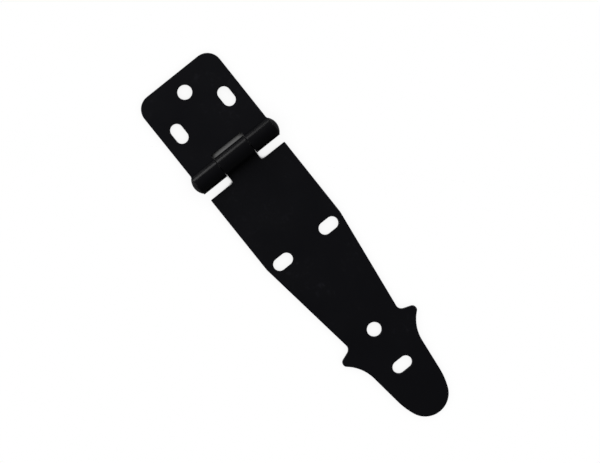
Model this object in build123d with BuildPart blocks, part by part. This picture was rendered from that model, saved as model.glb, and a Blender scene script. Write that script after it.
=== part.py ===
from build123d import *
import math
import os

# Strap hinge pressed from sheet steel: a short leaf, a long strap that ends in a spade, and the
# riveted pin that joins them. X runs along the strap, Y along the pin, Z towards the barrel side.
# The backs of both leaves lie on Z = 0, and the pin stands over the origin.

# Sheet, pin and the room between them
sheet = 2.5                # thickness of the steel of both leaves
pin_diameter = 5.4
pin_clearance = 0.05       # between the pin and the inside of every knuckle
knuckle_clearance = 0.3    # along the pin, between neighbouring knuckles
curl_clearance = 0.4       # between the end of a curl and the leaf it comes back to
edge_break = 0.3           # broken edges of both blanks
head_margin = 0.35         # bare rim of a knuckle's end round the pin's domed head
head_height = 2.0

# Short leaf
leaf_width = 45.9
leaf_length = 48.1         # pin axis to the far edge
leaf_corner = 7.5
notch_clearance = 2.05     # between the strap's knuckle and the end of the notch for it
leaf_hole_inset = 9.4      # from the far edge
leaf_slot_inset = 23.2
leaf_slot_spacing = 28.8

# Strap
strap_width = 45.0
strap_length = 157.7       # pin axis to the tip
neck_width = 17.6          # also the length of the strap's own knuckle
shoulder_clearance = 3.95  # between the leaf's knuckles and the square shoulders behind them
shoulder_corner = 0.5
gap_corner = 0.6
taper_start = 52.0         # pin axis to the bend where the sides begin to taper
strap_slot_distance = 53.8
strap_slot_spacing = 27.9

# Spade at the strap's end, measured back from its tip
throat_width = 30.2
throat_round = 3.1
ear_distance = 46.8
ear_width = 44.8
ear_round = 2.1
ear_slope = 70.0           # of the side of each ear that faces the barrel
ear_hollow = 19.6          # radius behind each ear
spade_hole_distance = 51.0
spade_slot_distance = 29.2
spade_width = 28.9         # across the spade at its slot
spade_slope = 6.8          # of the spade's sides
nose_length = 16.5         # where the sides begin to round
nose_side_round = 36.0

# Holes for the fixings
hole_diameter = 7.2
slot_width = 6.3
slot_length = 10.4

bore_radius = pin_diameter / 2 + pin_clearance
knuckle_radius = bore_radius + sheet
axis_height = knuckle_radius
head_radius = knuckle_radius - head_margin
dome_radius = (head_radius**2 + head_height**2) / (2 * head_height)
notch_depth = knuckle_radius + notch_clearance
shoulder_distance = knuckle_radius + shoulder_clearance
leaf_half = leaf_width / 2
strap_half = strap_width / 2
neck_half = neck_width / 2
notch_half = neck_half + knuckle_clearance
leaf_knuckle = leaf_half - notch_half
curl_turn = 270 + math.degrees(math.asin((axis_height - sheet - curl_clearance) / knuckle_radius))


def round_pin(radius, angle):
    """Point of a section at this radius and angle round the pin's axis."""
    return Vector(0, axis_height) + Vector(radius, 0).rotate(Axis.Z, angle)


def curl_outline(turn):
    """Section of the sheet rolled round the pin, from under its axis, by a signed turn."""
    CenterArc(round_pin(0, 0), knuckle_radius, -90, turn)
    CenterArc(round_pin(0, 0), bore_radius, -90, turn)
    Line(round_pin(bore_radius, -90), round_pin(knuckle_radius, -90))
    Line(round_pin(bore_radius, turn - 90), round_pin(knuckle_radius, turn - 90))


def round_corners(outline, distance, half, radius):
    """Round the two corners of a flat outline that lie at this distance along X and half width."""
    corners = outline.vertices().filter_by(
        lambda corner: abs(corner.X - distance) < 0.001 and abs(abs(corner.Y) - half) < 0.001
    )
    fillet(corners, radius)


def skin_edges(blank):
    """Edges round the front and back of a blank, without its corners and the start of each curl."""
    return blank.edges().filter_by(
        lambda edge: abs(edge.length - sheet) > 0.001 and abs(edge.center().X) > 0.001
    )


def spade_outline():
    """One side of the spade, from its throat over the ear and along the side to the nose."""
    # Straight side: it passes the slot at the spade's width and ends where the nose begins
    side_angle = 90 - spade_slope
    outward = Vector(1, 0).rotate(Axis.Z, side_angle)
    along = Vector(1, 0).rotate(Axis.Z, -spade_slope)
    side_point = Vector(strap_length - spade_slot_distance, spade_width / 2)
    nose_start = side_point + along * ((spade_slot_distance - nose_length) / along.X)

    # Ear: a small round that the flank and the hollow both touch
    ear_centre = Vector(strap_length - ear_distance, ear_width / 2 - ear_round)
    flank_top = ear_centre + Vector(ear_round, 0).rotate(Axis.Z, ear_slope + 90)
    flank_fall = flank_top.Y - throat_width / 2
    throat = flank_top - Vector(flank_fall / math.tan(math.radians(ear_slope)), flank_fall)
    height = (ear_centre - side_point).dot(outward)
    reach = math.sqrt((ear_hollow + ear_round) ** 2 - (ear_hollow - height) ** 2)
    to_hollow = outward * (ear_hollow - height) + along * reach
    hollow_centre = ear_centre + to_hollow
    hollow_angle = math.degrees(math.atan2(to_hollow.Y, to_hollow.X))

    # Nose: a wide round from the side, then a tighter one that meets the tip squarely
    side_centre = nose_start - outward * nose_side_round
    back = strap_length - side_centre.X
    nose_round = (nose_side_round**2 - side_centre.Y**2 - back**2) / (2 * (nose_side_round - back))
    nose_centre = Vector(strap_length - nose_round, 0)
    to_nose = nose_centre - side_centre
    nose_angle = math.degrees(math.atan2(to_nose.Y, to_nose.X))

    Line(throat, flank_top)
    CenterArc(ear_centre, ear_round, ear_slope + 90, hollow_angle - ear_slope - 90)
    hollow = CenterArc(hollow_centre, ear_hollow, hollow_angle + 180, side_angle - hollow_angle)
    Line(hollow @ 1, nose_start)
    CenterArc(side_centre, nose_side_round, side_angle, nose_angle - side_angle)
    CenterArc(nose_centre, nose_round, nose_angle, -nose_angle)
    return throat


# Short leaf: plate, notch for the strap's knuckle, and a knuckle curled at each side of it
with BuildPart() as short_leaf:
    with BuildSketch() as leaf_blank:
        with BuildLine():
            Polyline(
                (-notch_depth, 0),
                (-notch_depth, notch_half),
                (0, notch_half),
                (0, leaf_half),
                (-leaf_length, leaf_half),
                (-leaf_length, 0),
            )
            mirror(about=Plane.XZ)
        make_face()
        round_corners(leaf_blank, -leaf_length, leaf_half, leaf_corner)
        round_corners(leaf_blank, -notch_depth, notch_half, gap_corner)
    extrude(amount=sheet)
    with BuildSketch(Plane.XZ.offset(notch_half), Plane.XZ.offset(-leaf_half)):
        with BuildLine():
            curl_outline(curl_turn)
        make_face()
    extrude(amount=leaf_knuckle)
    chamfer(skin_edges(short_leaf), edge_break)
    with BuildSketch():
        with Locations((leaf_hole_inset - leaf_length, 0)):
            Circle(hole_diameter / 2)
        with Locations((leaf_slot_inset - leaf_length, 0)):
            with GridLocations(0, leaf_slot_spacing, 1, 2):
                SlotOverall(slot_length, slot_width)
    extrude(amount=sheet, mode=Mode.SUBTRACT)

# Strap: knuckle and neck, square shoulders, tapering sides and the spade
with BuildPart() as strap_leaf:
    with BuildSketch() as strap_blank:
        with BuildLine():
            throat = spade_outline()
            Polyline(
                (0, 0),
                (0, neck_half),
                (shoulder_distance, neck_half),
                (shoulder_distance, strap_half),
                (taper_start, strap_half),
                throat,
            )
            mirror(about=Plane.XZ)
        make_face()
        round_corners(strap_blank, shoulder_distance, neck_half, gap_corner)
        round_corners(strap_blank, shoulder_distance, strap_half, shoulder_corner)
        round_corners(strap_blank, throat.X, throat.Y, throat_round)
    extrude(amount=sheet)
    with BuildSketch(Plane.XZ.offset(-neck_half)):
        with BuildLine():
            curl_outline(-curl_turn)
        make_face()
    extrude(amount=neck_width)
    chamfer(skin_edges(strap_leaf), edge_break)
    with BuildSketch():
        with Locations((strap_slot_distance, 0)):
            with GridLocations(0, strap_slot_spacing, 1, 2):
                SlotOverall(slot_length, slot_width, rotation=90)
        with Locations((strap_length - spade_hole_distance, 0)):
            Circle(hole_diameter / 2)
        with Locations((strap_length - spade_slot_distance, 0)):
            SlotOverall(slot_length, slot_width, rotation=90)
    extrude(amount=sheet, mode=Mode.SUBTRACT)

# Pin: a plain shank through all three knuckles, with a domed head riveted over each end
with BuildPart() as hinge_pin:
    with BuildSketch(Plane.XY.offset(axis_height)):
        with BuildLine():
            Polyline((0, 0), (pin_diameter / 2, 0), (pin_diameter / 2, leaf_half), (head_radius, leaf_half))
            RadiusArc((head_radius, leaf_half), (0, leaf_half + head_height), -dome_radius)
            Line((0, 0), (0, leaf_half + head_height))
        make_face()
        mirror(about=Plane.XZ)
    revolve(axis=Axis((0, 0, axis_height), (0, 1, 0)))

short_leaf.part.label = "short_leaf"
strap_leaf.part.label = "strap_leaf"
hinge_pin.part.label = "hinge_pin"

os.makedirs("parts", exist_ok=True)
for piece in (short_leaf, strap_leaf, hinge_pin):
    export_step(piece.part, f"parts/{piece.part.label}.step")
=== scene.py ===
import math

import bpy
import numpy as np
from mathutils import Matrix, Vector
from mathutils.geometry import tessellate_polygon


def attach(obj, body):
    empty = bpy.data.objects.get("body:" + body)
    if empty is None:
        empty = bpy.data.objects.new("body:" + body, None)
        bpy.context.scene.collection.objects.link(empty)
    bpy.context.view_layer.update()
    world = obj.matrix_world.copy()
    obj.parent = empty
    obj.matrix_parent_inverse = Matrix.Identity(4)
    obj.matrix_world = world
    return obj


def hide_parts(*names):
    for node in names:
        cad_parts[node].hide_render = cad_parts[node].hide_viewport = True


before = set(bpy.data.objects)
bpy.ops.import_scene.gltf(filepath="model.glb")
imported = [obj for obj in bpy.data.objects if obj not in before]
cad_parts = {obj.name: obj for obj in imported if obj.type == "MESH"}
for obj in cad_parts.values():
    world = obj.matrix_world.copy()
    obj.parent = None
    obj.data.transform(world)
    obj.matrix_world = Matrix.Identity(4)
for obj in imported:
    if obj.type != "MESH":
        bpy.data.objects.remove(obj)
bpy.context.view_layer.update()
print("frame loaded:", sorted(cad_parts))

# Strap hinge in satin black, lying on its back on a white table.
# Pieces are worked out in millimetres, x along the strap and y along the pin, and put into metres
# at the end.
millimetre = 0.001
tiny = 1e-6                    # mm, what counts as no distance


# A hex colour as linear light, by the curve of the sRGB standard
def toLinear(hexColour):
    srgb = np.array([int(hexColour[i : i + 2], 16) for i in (1, 3, 5)]) / 255
    linear = np.where(srgb <= 0.04045, srgb / 12.92, ((srgb + 0.055) / 1.055) ** 2.4)
    return (*linear.tolist(), 1.0)


# Adds a node, sets its properties and unlinked inputs, and links the others to what feeds them
def addNode(tree, kind, properties=None, inputs=None, links=None):
    node = tree.nodes.new(kind)
    for key, value in (properties or {}).items():
        setattr(node, key, value)
    for key, value in (inputs or {}).items():
        node.inputs[key].default_value = value
    for key, source in (links or {}).items():
        tree.links.new(source, node.inputs[key])
    return node


# A new material with an empty tree, and its object coordinates in millimetres
def emptyMaterial(name):
    material = bpy.data.materials.new(name)
    material.use_nodes = True
    tree = material.node_tree
    tree.nodes.clear()
    place = addNode(tree, "ShaderNodeTexCoord")
    inMillimetres = addNode(
        tree, "ShaderNodeMapping", inputs={"Scale": (1 / millimetre,) * 3},
        links={"Vector": place.outputs["Object"]},
    )
    return material, tree, inMillimetres.outputs[0]


# Satin black polyester powder coat: sprayed on dry and baked, so it flows into one even skin over
# every edge. It gives a deep neutral black with a soft, wide highlight that orange peel breaks up
# a little. Each noise is (size in mm, detail, roughness, distortion).
satinCoat = {
    "deep": "#121216",
    "pale": "#16161a",
    "cloud": (22.0, 3.0, 0.5, 0.0),  # slow change in the film's thickness
    "cloudSpan": (0.3, 0.7),   # what the noise gives where the film is thinnest and thickest
    "roughness": (0.30, 0.35),
    "rubbed": "#202025",       # faint rubs from packing
    "rub": (3.2, 4.0, 0.65, 1.2),
    "rubPeaks": (0.56, 0.72),  # only the peaks of the noise are rubbed
    "rubOnPale": (0.5, 0.6),   # and only where the cloud is at its palest
    "rolled": "#0f0f12",       # painted shade, the coat drawn deeper on the barrel
    "rolledSmoother": 0.07,    # taken off the roughness there
    "rolledFrom": (2.6, 4.0),  # mm, the heights between which both come in
    "ior": 1.5,
    "specularLevel": 0.25,     # the wax and silica that matt the coat take half of its gloss
    "peel": (1.6, 1.0, 0.4, 0.0),    # orange peel is 1 to 2 mm across
    "peelHeight": 0.003,       # mm
    "grit": (0.5, 2.0, 0.6, 0.0),    # really 0.05 mm, drawn as fine as the picture can show
    "gritHeight": 0.0004,      # mm
}


# Cloudy tone and roughness from one slow noise, sparse rubs, and a skin of orange peel with finer
# grit over it
def powderCoat(name, coat):
    material, tree, inMillimetres = emptyMaterial(name)
    noise = {}
    for pattern in ("cloud", "rub", "peel", "grit"):
        size, detail, rough, warp = coat[pattern]
        noise[pattern] = addNode(
            tree, "ShaderNodeTexNoise",
            inputs={"Scale": 1 / size, "Detail": detail, "Roughness": rough, "Distortion": warp},
            links={"Vector": inMillimetres},
        ).outputs["Fac"]

    tone = addNode(
        tree, "ShaderNodeMix", {"data_type": "RGBA"},
        {6: toLinear(coat["deep"]), 7: toLinear(coat["pale"])}, {0: noise["cloud"]},
    )
    onlyPeaks = addNode(
        tree, "ShaderNodeMapRange",
        inputs={"From Min": coat["rubPeaks"][0], "From Max": coat["rubPeaks"][1]},
        links={"Value": noise["rub"]},
    )
    onlyPale = addNode(
        tree, "ShaderNodeMapRange",
        inputs={"From Min": coat["rubOnPale"][0], "From Max": coat["rubOnPale"][1]},
        links={"Value": noise["cloud"]},
    )
    rubs = addNode(
        tree, "ShaderNodeMath", {"operation": "MULTIPLY"},
        links={0: onlyPeaks.outputs[0], 1: onlyPale.outputs[0]},
    )
    worn = addNode(
        tree, "ShaderNodeMix", {"data_type": "RGBA"}, {7: toLinear(coat["rubbed"])},
        {0: rubs.outputs[0], 6: tone.outputs[2]},
    )

    height = addNode(tree, "ShaderNodeSeparateXYZ", links={0: inMillimetres})
    onBarrel = addNode(
        tree, "ShaderNodeMapRange",
        inputs={"From Min": coat["rolledFrom"][0], "From Max": coat["rolledFrom"][1]},
        links={"Value": height.outputs[2]},
    )
    # Painted shade: the coat's colour is drawn deeper on the barrel and pin, rising with height
    # over the back of the leaves
    colour = addNode(
        tree, "ShaderNodeMix", {"data_type": "RGBA"}, {7: toLinear(coat["rolled"])},
        {0: onBarrel.outputs[0], 6: worn.outputs[2]},
    )
    sheen = addNode(
        tree, "ShaderNodeMapRange",
        inputs={
            "From Min": coat["cloudSpan"][0], "From Max": coat["cloudSpan"][1],
            "To Min": coat["roughness"][0], "To Max": coat["roughness"][1],
        },
        links={"Value": noise["cloud"]},
    )
    roughness = addNode(
        tree, "ShaderNodeMath", {"operation": "MULTIPLY_ADD"}, {1: -coat["rolledSmoother"]},
        {0: onBarrel.outputs[0], 2: sheen.outputs[0]},
    )

    peelBump = addNode(
        tree, "ShaderNodeBump",
        inputs={"Strength": 1.0, "Distance": coat["peelHeight"] * millimetre},
        links={"Height": noise["peel"]},
    )
    gritBump = addNode(
        tree, "ShaderNodeBump",
        inputs={"Strength": 1.0, "Distance": coat["gritHeight"] * millimetre},
        links={"Height": noise["grit"], "Normal": peelBump.outputs[0]},
    )
    skin = addNode(
        tree, "ShaderNodeBsdfPrincipled",
        inputs={"Metallic": 0.0, "IOR": coat["ior"], "Specular IOR Level": coat["specularLevel"]},
        links={
            "Base Color": colour.outputs[2], "Roughness": roughness.outputs[0],
            "Normal": gritBump.outputs[0],
        },
    )
    addNode(tree, "ShaderNodeOutputMaterial", links={"Surface": skin.outputs[0]})
    return material


leafFinish = powderCoat("powderCoatedSheetSteel", satinCoat)
pinFinish = powderCoat("powderCoatedPin", satinCoat)
print("finishes made")

# Segments on each rounded stretch of the leaves, so fine that none shows
arcSteps = {
    "screwHole": 72,
    "slotEnd": 28,
    "pressCorner": 8,          # the small corners that the press leaves
    "curlCorner": 4,
    "farCorner": 24,
    "throat": 14,
    "ear": 20,
    "hollow": 28,
    "noseSide": 24,
    "nose": 28,
}


# Points evenly spaced in angle on a circle: centre + radius * (cos, sin)
def arcPoints(centre, radius, startAngle, turn, steps):
    angle = np.radians(startAngle + turn * np.linspace(0, 1, steps + 1))
    return np.asarray(centre) + radius * np.column_stack((np.cos(angle), np.sin(angle)))


# The corner of a line that turns at middle, rounded: an arc that touches both runs, whose centre
# lies on the bisector at radius / sin(half the angle between the runs)
def roundedCorner(before, middle, after, radius, steps):
    before, middle, after = (np.asarray(p, float) for p in (before, middle, after))
    toBefore = (before - middle) / np.linalg.norm(before - middle)
    toAfter = (after - middle) / np.linalg.norm(after - middle)
    halfAngle = math.acos(np.clip(toBefore @ toAfter, -1, 1)) / 2
    bisector = (toBefore + toAfter) / np.linalg.norm(toBefore + toAfter)
    centre = middle + bisector * radius / math.sin(halfAngle)
    touch = radius / math.tan(halfAngle)
    first, last = middle + toBefore * touch - centre, middle + toAfter * touch - centre
    start = math.degrees(math.atan2(first[1], first[0]))
    turn = (math.degrees(math.atan2(last[1], last[0])) - start + 180) % 360 - 180
    return arcPoints(centre, radius, start, turn, steps)


# Points evenly spaced on a straight run, both ends left out
def between(first, last, steps):
    share = np.linspace(0, 1, steps + 1)[1:-1, None]
    return np.asarray(first) * (1 - share) + np.asarray(last) * share


# A whole closed outline from its side with y above 0: that side, then its mirror image walked back
def mirrored(side):
    back = side[::-1] * (1, -1)
    return np.vstack((side, back[1:] if abs(side[-1, 1]) < tiny else back))


# A slot: two half circles joined by straight sides, turned to lie along or across the leaf
def slotOutline(centre, length, width, turn):
    reach = (length - width) / 2
    turned = math.radians(turn)
    ends = [np.array([math.cos(turned), math.sin(turned)]) * reach * side for side in (1, -1)]
    halves = [
        arcPoints(end, width / 2, turn - 90 + 180 * i, 180, arcSteps["slotEnd"])
        for i, end in enumerate(ends)
    ]
    return np.vstack(halves) + np.asarray(centre)


# Outlines of a leaf and of its holes as closed rows of points, the leaf's counterclockwise and
# the holes' clockwise
def leafLoops(side, leaf):
    outline = mirrored(side)
    x, y = outline.T
    if np.sum(x * np.roll(y, -1) - np.roll(x, -1) * y) < 0:
        outline = outline[::-1]
    holeX, holeY, holeRadius = leaf["screwHole"]
    holes = [arcPoints((holeX, holeY), holeRadius, 0, 360, arcSteps["screwHole"])[:-1]]
    for centre in leaf["slots"]:
        holes.append(slotOutline(centre, leaf["slotLength"], leaf["slotWidth"], leaf["slotTurn"]))
    return [outline] + [hole[::-1] for hole in holes]


# The sheet that both leaves are pressed from, in mm. The punch draws the front of every cut edge
# in. The back, on the die's side, keeps a tighter edge and comes outside on the rolled knuckles.
pressedSteel = {
    "thickness": 2.5,
    "frontRound": 0.25,
    "backRound": 0.12,
    "restBeyondRound": 0.06,   # flat rim inside each rounded edge, so the flat faces shade flat
    "roundSteps": 5,
}


# Section of a cut edge, from the front face round to the back one, as (distance in from the cut,
# height): quarter circles at front and back with the straight cut between them
def cutEdgeSection(steel):
    quarter = np.linspace(0, np.pi / 2, steel["roundSteps"] + 1)
    front, back, thick = steel["frontRound"], steel["backRound"], steel["thickness"]
    return np.vstack((
        [(front + steel["restBeyondRound"], thick)],
        np.column_stack((front * (1 - np.sin(quarter)), thick - front * (1 - np.cos(quarter)))),
        np.column_stack((back * (1 - np.cos(quarter)), back * (1 - np.sin(quarter)))),
        [(back + steel["restBeyondRound"], 0)],
    ))


# The outline moved square to itself: each point goes along the sum of its two runs' normals,
# divided by 1 + their dot product, so that every run moves in by the same distance
def movedIn(loop, distance):
    run = np.roll(loop, -1, axis=0) - loop
    run /= np.linalg.norm(run, axis=1)[:, None]
    normal = np.column_stack((run[:, 1], -run[:, 0]))
    before = np.roll(normal, 1, axis=0)
    mitre = (normal + before) / (1 + np.sum(normal * before, axis=1))[:, None]
    return loop - mitre * distance


# Faces of the blank with their corners in the order that makes them look up, or down for the
# back: those whose signed area, half the sum of x * next y - next x * y, has the other sign are
# turned round
def facing(points, faces, up):
    faces = np.asarray(faces)
    x, y = points[faces, 0], points[faces, 1]
    area = np.sum(x * np.roll(y, -1, axis=1) - np.roll(x, -1, axis=1) * y, axis=1)
    wrong = (area > 0) != up
    faces[wrong] = faces[wrong, ::-1]
    return faces.tolist()


# Each unbroken row of outline points on one tongue, from its root on one side to its root on the
# other
def tongueChains(fromRoot):
    onTongue = fromRoot > -tiny
    start = int(np.flatnonzero(~onTongue)[0])
    order = np.roll(np.arange(len(fromRoot)), -start)
    edges = np.flatnonzero(np.diff(onTongue[order].astype(int)))
    ends = np.append(edges, len(order) - 1)[1::2]
    return [order[a + 1 : b + 1] for a, b in zip(edges[::2], ends)]


# A flat blank as one closed surface. The edge section is carried round every outline, and the two
# faces are filled between the innermost rows: a plain fill over the flat part, straight rows
# across each tongue.
def pressedBlank(loops, steel, rollSide):
    section = cutEdgeSection(steel)
    points, faces, fronts, backs = [], [], [], []
    for loop in loops:
        start, count = sum(len(p) for p in points), len(loop)
        for inset, z in section:
            points.append(np.column_stack((movedIn(loop, inset), np.full(count, z))))
        here = np.arange(count)
        following = np.roll(here, -1)
        for row in range(len(section) - 1):
            a, b = start + row * count, start + (row + 1) * count
            faces += np.column_stack((a + here, b + here, b + following, a + following)).tolist()
        fronts.append(start + here)
        backs.append(start + (len(section) - 1) * count + here)
    points = np.vstack(points)

    for rims, onFront in ((fronts, True), (backs, False)):
        fromRoot = rollSide * points[rims[0], 0]
        flatRims = [rims[0][fromRoot < tiny]] + rims[1:]
        corners = [[Vector(points[i]) for i in rim] for rim in flatRims]
        order = np.concatenate(flatRims)
        faces += facing(points, order[np.array(tessellate_polygon(corners))], onFront)
        for chain in tongueChains(fromRoot):
            rim = rims[0][chain]
            left, right = rim[: len(rim) // 2], rim[::-1][: len(rim) // 2]
            rows = np.column_stack((left[:-1], left[1:], right[1:], right[:-1]))
            faces += facing(points, rows, onFront)
    return points, faces


# The barrel that the tongues of both leaves are rolled into, in mm
barrel = {
    "outerRadius": 5.25,
    "boreRadius": 2.75,
    "height": 5.25,            # pin axis above the back of the leaves
    "turn": 296.6,             # degrees from under the pin to the end of each curl
    "rollSteps": 96,
}
curlRadius = (barrel["outerRadius"] + barrel["boreRadius"]) / 2  # at the middle of the sheet
curlLength = math.radians(barrel["turn"]) * curlRadius


# Rolls the tongues round the pin: a point at distance d past the root turns by d / the curl's mean
# radius, and its height in the sheet becomes its depth in the curl: x = r sin, z = height of the
# pin - r cos
def rolled(points, rollSide):
    distance = np.maximum(rollSide * points[:, 0], 0)
    angle = distance / curlRadius
    radius = barrel["outerRadius"] - points[:, 2]
    onCurl = distance > 0
    x = np.where(onCurl, rollSide * radius * np.sin(angle), points[:, 0])
    z = np.where(onCurl, barrel["height"] - radius * np.cos(angle), points[:, 2])
    return np.column_stack((x, points[:, 1], z))


# Makes a smooth shaded piece from points in millimetres, in place of a CAD node, and lets it ride
# on a body
def makePiece(name, points, faces, finish, body, node):
    mesh = bpy.data.meshes.new(name)
    mesh.from_pydata((points * millimetre).tolist(), [], faces)
    mesh.validate()
    mesh.shade_smooth()
    mesh.materials.append(finish)
    piece = bpy.data.objects.new(name, mesh)
    bpy.context.scene.collection.objects.link(piece)
    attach(piece, body)
    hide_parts(node)
    print(name, "made,", len(mesh.polygons), "faces")


# Short leaf, in mm from the pin's axis
shortLeaf = {
    "halfWidth": 22.95,
    "length": 48.1,            # to the far edge
    "farCorner": 7.5,
    "notchDepth": 7.3,
    "notchHalf": 9.1,
    "notchCorner": 0.6,
    "curlCorner": 0.5,
    "screwHole": (-38.7, 0.0, 3.6),  # x, y and radius
    "slots": [(-24.9, 14.4), (-24.9, -14.4)],
    "slotLength": 10.4,
    "slotWidth": 6.3,
    "slotTurn": 0,             # degrees, these two run along the leaf
    "rollSide": 1,             # its tongues point along +x
}


# The short leaf's blank, laid flat: notch, one of the two tongues that are rolled into knuckles,
# and the plate
def shortLeafSide(leaf):
    notch, half = leaf["notchHalf"], leaf["halfWidth"]
    far, deep = -leaf["length"], -leaf["notchDepth"]
    curlSteps, rollSteps = arcSteps["curlCorner"], barrel["rollSteps"]
    innerEnd, outerEnd = (curlLength, notch), (curlLength, half)
    inner = roundedCorner((0, notch), innerEnd, outerEnd, leaf["curlCorner"], curlSteps)
    outer = roundedCorner(innerEnd, outerEnd, (0, half), leaf["curlCorner"], curlSteps)
    notchCorner = roundedCorner(
        (deep, 0), (deep, notch), (0, notch), leaf["notchCorner"], arcSteps["pressCorner"]
    )
    farCorner = roundedCorner(
        (0, half), (far, half), (far, 0), leaf["farCorner"], arcSteps["farCorner"]
    )
    return np.vstack((
        notchCorner,
        [(0, notch)],
        between((0, notch), inner[0], rollSteps),
        inner,
        outer,
        between(outer[-1], (0, half), rollSteps),
        [(0, half)],
        farCorner,
    ))


loops = leafLoops(shortLeafSide(shortLeaf), shortLeaf)
points, faces = pressedBlank(loops, pressedSteel, shortLeaf["rollSide"])
points = rolled(points, shortLeaf["rollSide"])
makePiece("shortLeafSheet", points, faces, leafFinish, "short_leaf", "short_leaf")

# Strap, in mm from the pin's axis
strapLeaf = {
    "halfWidth": 22.5,
    "length": 157.7,           # to the tip
    "neckHalf": 8.8,
    "neckCorner": 0.6,
    "curlCorner": 0.5,
    "shoulder": 9.2,           # to the square shoulders
    "shoulderCorner": 0.5,
    "taperStart": 52.0,
    "throatHalf": 15.1,
    "throatRound": 3.1,
    "screwHole": (106.7, 0.0, 3.6),  # x, y and radius
    "slots": [(53.8, 13.95), (53.8, -13.95), (128.5, 0.0)],
    "slotLength": 10.4,
    "slotWidth": 6.3,
    "slotTurn": 90,            # degrees, these three run across the strap
    "rollSide": -1,            # its tongue points along -x
}

# Spade at the strap's end, in mm back from its tip
spade = {
    "earBack": 46.8,           # to the ears' centres
    "earHalf": 22.4,
    "earRound": 2.1,
    "earSlope": 70.0,          # degrees
    "hollowRadius": 19.6,
    "slotBack": 29.2,
    "halfAtSlot": 14.45,
    "sideSlope": 6.8,          # degrees
    "noseBack": 16.5,
    "noseSideRound": 36.0,
}


# The spade: small round ears, a hollow behind each of them, straight sides and a nose of two
# radii. Each arc touches the one before it, so its centre follows from the radii.
def spadeSide(strap, tip):
    earSlope, earRound, hollow, side = (
        tip["earSlope"], tip["earRound"], tip["hollowRadius"], tip["noseSideRound"]
    )
    sideAngle = 90 - tip["sideSlope"]
    outward = np.array([math.cos(math.radians(sideAngle)), math.sin(math.radians(sideAngle))])
    along = np.array([outward[1], -outward[0]])
    sidePoint = np.array([strap["length"] - tip["slotBack"], tip["halfAtSlot"]])
    noseStart = sidePoint + along * (tip["slotBack"] - tip["noseBack"]) / along[0]

    ear = np.array([strap["length"] - tip["earBack"], tip["earHalf"] - earRound])
    flankTop = arcPoints(ear, earRound, earSlope + 90, 0, 1)[0]
    fall = flankTop[1] - strap["throatHalf"]
    throat = flankTop - (fall / math.tan(math.radians(earSlope)), fall)
    hollowHeight = hollow - (ear - sidePoint) @ outward
    reach = math.sqrt((hollow + earRound) ** 2 - hollowHeight**2)
    toHollow = outward * hollowHeight + along * reach
    hollowAngle = math.degrees(math.atan2(toHollow[1], toHollow[0]))

    sideCentre = noseStart - outward * side
    back = strap["length"] - sideCentre[0]
    noseRound = (side**2 - sideCentre[1] ** 2 - back**2) / (2 * (side - back))
    nose = np.array([strap["length"] - noseRound, 0.0])
    noseAngle = math.degrees(math.atan2(*(nose - sideCentre)[::-1]))

    taperStart = (strap["taperStart"], strap["halfWidth"])
    earTurn, hollowTurn = hollowAngle - earSlope - 90, sideAngle - hollowAngle
    return np.vstack((
        roundedCorner(taperStart, throat, flankTop, strap["throatRound"], arcSteps["throat"]),
        arcPoints(ear, earRound, earSlope + 90, earTurn, arcSteps["ear"]),
        arcPoints(ear + toHollow, hollow, hollowAngle + 180, hollowTurn, arcSteps["hollow"])[1:],
        arcPoints(sideCentre, side, sideAngle, noseAngle - sideAngle, arcSteps["noseSide"]),
        arcPoints(nose, noseRound, noseAngle, -noseAngle, arcSteps["nose"])[1:],
    ))


# The strap's blank, laid flat: the tongue that is rolled into the middle knuckle, neck, shoulder,
# taper and spade
def strapLeafSide(strap, tip):
    neck, half, shoulder = strap["neckHalf"], strap["halfWidth"], strap["shoulder"]
    taperStart, pressSteps = (strap["taperStart"], half), arcSteps["pressCorner"]
    curl = roundedCorner(
        (-curlLength, 0), (-curlLength, neck), (0, neck),
        strap["curlCorner"], arcSteps["curlCorner"],
    )
    neckCorner = roundedCorner(
        (0, neck), (shoulder, neck), (shoulder, half), strap["neckCorner"], pressSteps
    )
    shoulderCorner = roundedCorner(
        (shoulder, neck), (shoulder, half), taperStart, strap["shoulderCorner"], pressSteps
    )
    return np.vstack((
        curl,
        between(curl[-1], (0, neck), barrel["rollSteps"]),
        [(0, neck)],
        neckCorner,
        shoulderCorner,
        [taperStart],
        spadeSide(strap, tip),
    ))


loops = leafLoops(strapLeafSide(strapLeaf, spade), strapLeaf)
points, faces = pressedBlank(loops, pressedSteel, strapLeaf["rollSide"])
points = rolled(points, strapLeaf["rollSide"])
makePiece("strapLeafSheet", points, faces, leafFinish, "strap", "strap_leaf")

# Pin, in mm
hingePin = {
    "shankRadius": 2.7,
    "halfLength": 22.95,       # to the flat under each head
    "headRadius": 4.9,
    "headHeight": 2.0,
    "rimRound": 0.15,          # where the dome meets the flat under it
    "domeSteps": 24,
    "rimSteps": 8,
    "roundSteps": 96,
}


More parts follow.
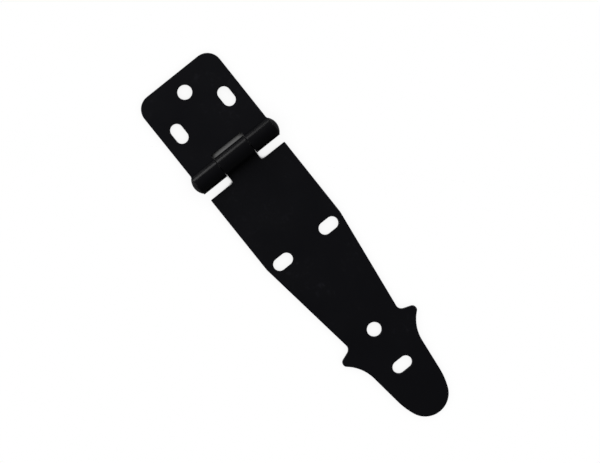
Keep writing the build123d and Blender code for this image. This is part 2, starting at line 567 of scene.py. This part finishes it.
# The pin: a section of shank, rim and dome turned once round the y axis, closed at both poles:
# (radius * cos, distance along, pin height + radius * sin)
def turnedPin(pin):
    rim = pin["rimRound"]
    dome = (pin["headRadius"] ** 2 + pin["headHeight"] ** 2) / (2 * pin["headHeight"])
    domeCentre = pin["halfLength"] + pin["headHeight"] - dome
    rimY = pin["halfLength"] + rim
    rimRadius = math.sqrt((dome - rim) ** 2 - (rimY - domeCentre) ** 2)
    lean = math.atan2(rimRadius, rimY - domeCentre)
    domeAngle = np.linspace(0, lean, pin["domeSteps"] + 1)[1:]
    rimAngle = np.linspace(lean, np.pi, pin["rimSteps"] + 1)[1:]
    head = np.vstack((
        np.column_stack((dome * np.sin(domeAngle), domeCentre + dome * np.cos(domeAngle))),
        np.column_stack((rimRadius + rim * np.sin(rimAngle), rimY + rim * np.cos(rimAngle))),
        [(pin["shankRadius"], pin["halfLength"])],
    ))
    section = np.vstack((head, head[::-1] * (1, -1)))

    count = pin["roundSteps"]
    angle = np.linspace(0, 2 * np.pi, count, endpoint=False)
    radius, along = section[:, :1], section[:, 1:]
    across, up = radius * np.cos(angle), barrel["height"] + radius * np.sin(angle)
    rings = np.stack((across, along + 0 * angle, up), axis=-1).reshape(-1, 3)
    pole = pin["halfLength"] + pin["headHeight"]
    points = np.vstack((rings, [(0, pole, barrel["height"]), (0, -pole, barrel["height"])]))

    here = np.arange(count)
    following = np.roll(here, -1)
    faces = []
    for row in range(len(section) - 1):
        a, b = row * count, (row + 1) * count
        faces += np.column_stack((a + here, a + following, b + following, b + here)).tolist()
    last = (len(section) - 1) * count
    nearPole, farPole = np.full(count, len(rings)), np.full(count, len(rings) + 1)
    faces += np.column_stack((following, here, nearPole)).tolist()
    faces += np.column_stack((last + here, last + following, farPole)).tolist()
    return points, faces


points, faces = turnedPin(hingePin)
makePiece("domedPin", points, faces, pinFinish, "short_leaf", "hinge_pin")

# White table top. The light meets a plain matt white. The camera looks through it at the white
# room, so the strap still shows where it swings down past the table, and it sees no cast shadow
# but a shade made from how open the view up from each point is, close round the hinge.
# The photograph's background is cut away up to the hinge's outline but not in the notch behind
# the barrel, so the shade is deep there and faint everywhere else, apart from slits where hardly
# any light comes in.
table = {
    "size": 8.0,               # m
    "colour": "#a4a4a4",
    "lowered": 0.0001,         # m, keeps its face off the backs of the leaves
    "shadeReach": 0.012,       # m
    "shadeSamples": 32,
    # The patch that takes the deep shade, and how softly it ends, in mm
    "underNotch": {"centre": (-5.0, 0.0, 0.0), "half": (4.0, 9.6, 0.0), "edge": 0.3},
    # Both shades as (openness above the point, brightness)
    "deepShade": [(0.15, 0.0), (0.28, 0.11), (0.43, 0.14), (0.62, 0.92), (1.0, 1.0)],
    "faintShade": [
        (0.13, 0.0), (0.2, 0.08), (0.29, 0.85), (0.5, 0.93), (0.8, 0.98), (0.95, 1.0),
    ],
}


# A square table top, matt white to the light and seen through by the camera
def makeTable(table):
    half = table["size"] / 2
    corners = [(-half, -half, 0), (half, -half, 0), (half, half, 0), (-half, half, 0)]
    mesh = bpy.data.meshes.new("tableTop")
    mesh.from_pydata(corners, [], [(0, 1, 2, 3)])
    material, tree, inMillimetres = emptyMaterial("mattWhiteTable")
    matt = addNode(tree, "ShaderNodeBsdfDiffuse", inputs={"Color": toLinear(table["colour"])})
    openness = addNode(
        tree, "ShaderNodeAmbientOcclusion", {"samples": table["shadeSamples"]},
        {"Distance": table["shadeReach"]},
    )
    shades = []
    for tones in (table["deepShade"], table["faintShade"]):
        ramp = addNode(tree, "ShaderNodeValToRGB", links={0: openness.outputs["AO"]})
        stops = ramp.color_ramp.elements  # a new ramp has two
        for step, (position, brightness) in enumerate(tones):
            stop = stops[step] if step < 2 else stops.new(position)
            stop.position, stop.color = position, (brightness, brightness, brightness, 1)
        shades.append(ramp.outputs[0])

    # How far a point is outside the patch under the notch: the larger of |x - centre| - half
    # along x and along y
    patch = table["underNotch"]
    fromCentre = addNode(
        tree, "ShaderNodeVectorMath", {"operation": "SUBTRACT"}, {1: patch["centre"]},
        {0: inMillimetres},
    )
    eitherSide = addNode(
        tree, "ShaderNodeVectorMath", {"operation": "ABSOLUTE"}, links={0: fromCentre.outputs[0]}
    )
    outside = addNode(
        tree, "ShaderNodeVectorMath", {"operation": "SUBTRACT"}, {1: patch["half"]},
        {0: eitherSide.outputs[0]},
    )
    split = addNode(tree, "ShaderNodeSeparateXYZ", links={0: outside.outputs[0]})
    farther = addNode(
        tree, "ShaderNodeMath", {"operation": "MAXIMUM"},
        links={0: split.outputs[0], 1: split.outputs[1]},
    )
    awayFromNotch = addNode(
        tree, "ShaderNodeMapRange", {"interpolation_type": "SMOOTHSTEP"},
        {"From Min": 0.0, "From Max": patch["edge"]}, {"Value": farther.outputs[0]},
    )
    shade = addNode(
        tree, "ShaderNodeMix", {"data_type": "RGBA"},
        links={0: awayFromNotch.outputs[0], 6: shades[0], 7: shades[1]},
    )
    lookThrough = addNode(tree, "ShaderNodeBsdfTransparent", links={"Color": shade.outputs[2]})
    ray = addNode(tree, "ShaderNodeLightPath")
    surface = addNode(
        tree, "ShaderNodeMixShader",
        links={0: ray.outputs["Is Camera Ray"], 1: matt.outputs[0], 2: lookThrough.outputs[0]},
    )
    addNode(tree, "ShaderNodeOutputMaterial", links={"Surface": surface.outputs[0]})
    mesh.materials.append(material)
    top = bpy.data.objects.new("tableTop", mesh)
    top.location.z = -table["lowered"]
    bpy.context.scene.collection.objects.link(top)


makeTable(table)
print("table made")

# Soft boxes, in m and watts: a large one past each end of the pin and a little behind the short
# leaf, which light the flat faces without showing in them, and a weak strip low behind that leaf,
# which draws the line of light along the barrel
softBoxes = [
    {"name": "boxLeft", "from": (-0.40, -0.75, 0.53), "size": (0.85, 0.85), "power": 4.9},
    {"name": "boxRight", "from": (-0.40, 0.75, 0.53), "size": (0.85, 0.85), "power": 4.9},
    {"name": "stripBehind", "from": (-0.94, -0.12, 0.29), "size": (0.3, 0.4), "power": 1.15},
]
for box in softBoxes:
    data = bpy.data.lights.new(box["name"], "AREA")
    data.shape = "RECTANGLE"
    data.size, data.size_y = box["size"]
    data.energy = box["power"]
    lamp = bpy.data.objects.new(box["name"], data)
    lamp.location = box["from"]
    lamp.rotation_euler = (-Vector(box["from"])).to_track_quat("-Z", "Y").to_euler()
    bpy.context.scene.collection.objects.link(lamp)

# Even room light, dim on the hinge and white where the camera looks straight at it
room = {"colour": "#ffffff", "strength": 0.05, "seenStrength": 1.0}
roomColour = toLinear(room["colour"])
world = bpy.data.worlds.new("studio")
bpy.context.scene.world = world
world.use_nodes = True
tree = world.node_tree
tree.nodes.clear()
dim, white = (
    addNode(tree, "ShaderNodeBackground", inputs={"Color": roomColour, "Strength": strength})
    for strength in (room["strength"], room["seenStrength"])
)
ray = addNode(tree, "ShaderNodeLightPath")
seen = addNode(
    tree, "ShaderNodeMixShader",
    links={0: ray.outputs["Is Camera Ray"], 1: dim.outputs[0], 2: white.outputs[0]},
)
addNode(tree, "ShaderNodeOutputWorld", links={"Surface": seen.outputs[0]})
print("lights made")

# Camera: nearly straight over the barrel, turned so that the strap runs down to the right
photoCamera = {
    "place": (0.0163284, 0.0042754, 0.6305802),  # m
    "turn": (-2.3757, -1.5717, 51.4075),         # degrees
    "lens": 78.805,            # mm
    "sensor": 36.0,            # mm
    "clip": (0.01, 50.0),      # m
}
cameraData = bpy.data.cameras.new("photoCamera")
cameraData.sensor_width = photoCamera["sensor"]
cameraData.lens = photoCamera["lens"]
cameraData.clip_start, cameraData.clip_end = photoCamera["clip"]
camera = bpy.data.objects.new("photoCamera", cameraData)
camera.location = photoCamera["place"]
camera.rotation_euler = [math.radians(a) for a in photoCamera["turn"]]
bpy.context.scene.collection.objects.link(camera)
bpy.context.scene.camera = camera
bpy.context.scene.view_settings.view_transform = "Standard"
print("camera made")
